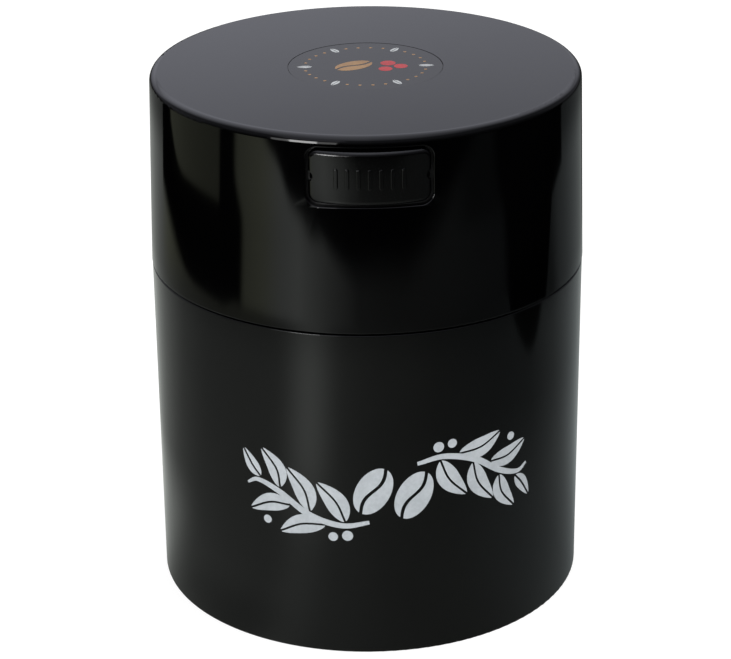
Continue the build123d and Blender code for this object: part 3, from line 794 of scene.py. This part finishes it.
brightness = far + (near - far) * inside(board_end, board_blur)
cool_side = fields.blend(between(turn, *COOL_PLACE), PLAIN, COOL)
tint = fields.blend(patch(*WARM_PATCH), cool_side, WARM)
dress(mat, fields.surface(fields.node("Emission", {}, {"Color": tint, "Strength": brightness})))


# The lamps: soft boxes for the colours, and one low bright box with a halo that
# only the rounded edges of the lid and the button are turned to.

LAMP_AIM = Vector((0.0, 0.0, 0.07))
BOX_DISTANCE, BOX_SIZE = 1.2, (0.6, 0.6)
EDGE_AZIMUTH, EDGE_ELEVATION, EDGE_DISTANCE, EDGE_TALL = -32, 6.5, 1.0, 0.36


def lamp(name, azimuth, elevation, distance, size, power):
    """A lamp box that faces the canister, with its turns in degrees."""
    data = bpy.data.lights.new(name, "AREA")
    data.shape = "RECTANGLE"
    data.size, data.size_y = size
    data.energy = power
    made = put(name, data)
    out = outward(math.radians(azimuth), math.radians(elevation))
    made.location = LAMP_AIM + out * distance
    made.rotation_mode = "QUATERNION"
    made.rotation_quaternion = out.to_track_quat("Z", "Y")
    return made


for name, azimuth, elevation, power in (
    ("key_lamp", -33, 24, 6.2), ("fill_lamp", 60, 48, 3.4), ("back_lamp", 170, 62, 3.4)
):
    lamp(name, azimuth, elevation, BOX_DISTANCE, BOX_SIZE, power).visible_glossy = False
for name, wide, power in (("edge_lamp", 0.25, 2.7), ("edge_lamp_halo", 0.60, 1.1)):
    edge = lamp(name, EDGE_AZIMUTH, EDGE_ELEVATION, EDGE_DISTANCE, (wide, EDGE_TALL), power)
    edge.visible_diffuse = False


# The walls and ceiling: soft and even for the colours. The gloss sees a bright
# ceiling that comes down behind the canister, with a dim line where it meets the wall.

SOFT_LEVEL = 0.58
GLOSS_TINT = (0.97, 0.99, 1.12, 1.0)
DOWN_BEHIND, UP_ON_THE_RIGHT = 0.72, 0.16
BACK_WALL = (0.70, 0.88)

# The room is a little brighter on the left, where a dim soft box hangs in front. Its heights
# and sides are each a least value, a greatest one and how softly it ends.
RIGHT_LEVEL, LEFT_EXTRA, LEFT_SIDE = 0.96, 0.10, (0.08, -0.08)
SIDE_BOX_GLOW, SIDE_BOX_FRONT = 0.3, (0.0, -0.3)
SIDE_BOX_HEIGHTS, SIDE_BOX_SIDES = (0.38, 0.68, 0.1), (-0.62, -0.2, 0.06)

# Brightness by how steeply a ray goes up, from 0 for level to 1 for straight up. The
# ceiling's stops go past 1 because it comes down behind.
CEILING_HIGH = 1.25
CEILING = [
    (0.0, 0.03), (0.2, 0.09), (0.35, 0.12), (0.57, 0.12), (0.65, 0.2), (0.73, 0.4), (0.85, 0.62),
    (1.0, 0.97), (1.15, 1.15), (CEILING_HIGH, 1.3),
]
DIM_LINE = [(0.0, 0.8), (0.27, 0.76), (0.335, 0.48), (0.375, 0.68), (0.47, 0.84), (0.56, 1.0)]

world = bpy.data.worlds.new("studio")
bpy.context.scene.world = world
sky = Finish(world)
way = sky.node("TexCoord", output="Generated")
rightward, backward, height = (
    sky.node("SeparateXYZ", {}, {0: way}, output=axis) for axis in ("X", "Y", "Z")
)
lifted = (height + DOWN_BEHIND * above(backward) - UP_ON_THE_RIGHT * above(rightward)) / CEILING_HIGH
ceiling_stops = [(place / CEILING_HIGH, grey) for place, grey in CEILING]
ceiling = sky.node("ValToRGB", {"stops": ceiling_stops}, {0: lifted})
dim_line = sky.node("ValToRGB", {"stops": DIM_LINE}, {0: height})
side_box = between(height, *SIDE_BOX_HEIGHTS) * between(rightward, *SIDE_BOX_SIDES)
side_box = side_box * backward.step(*SIDE_BOX_FRONT)
room = (1.0 + backward.step(*BACK_WALL) * (dim_line - 1.0)) * ceiling + SIDE_BOX_GLOW * side_box
room = room * (RIGHT_LEVEL + LEFT_EXTRA * rightward.step(*LEFT_SIDE))
even = sky.node("Background", {}, {"Color": WHITE, "Strength": SOFT_LEVEL})
gloss = sky.node("Background", {}, {"Color": GLOSS_TINT, "Strength": room})
white = sky.node("Background", {}, {"Color": WHITE, "Strength": 1.0})
sky.surface(choice(sky, "Camera", choice(sky, "Glossy", even, gloss), white), "OutputWorld")
bpy.context.scene.view_settings.view_transform = "Standard"
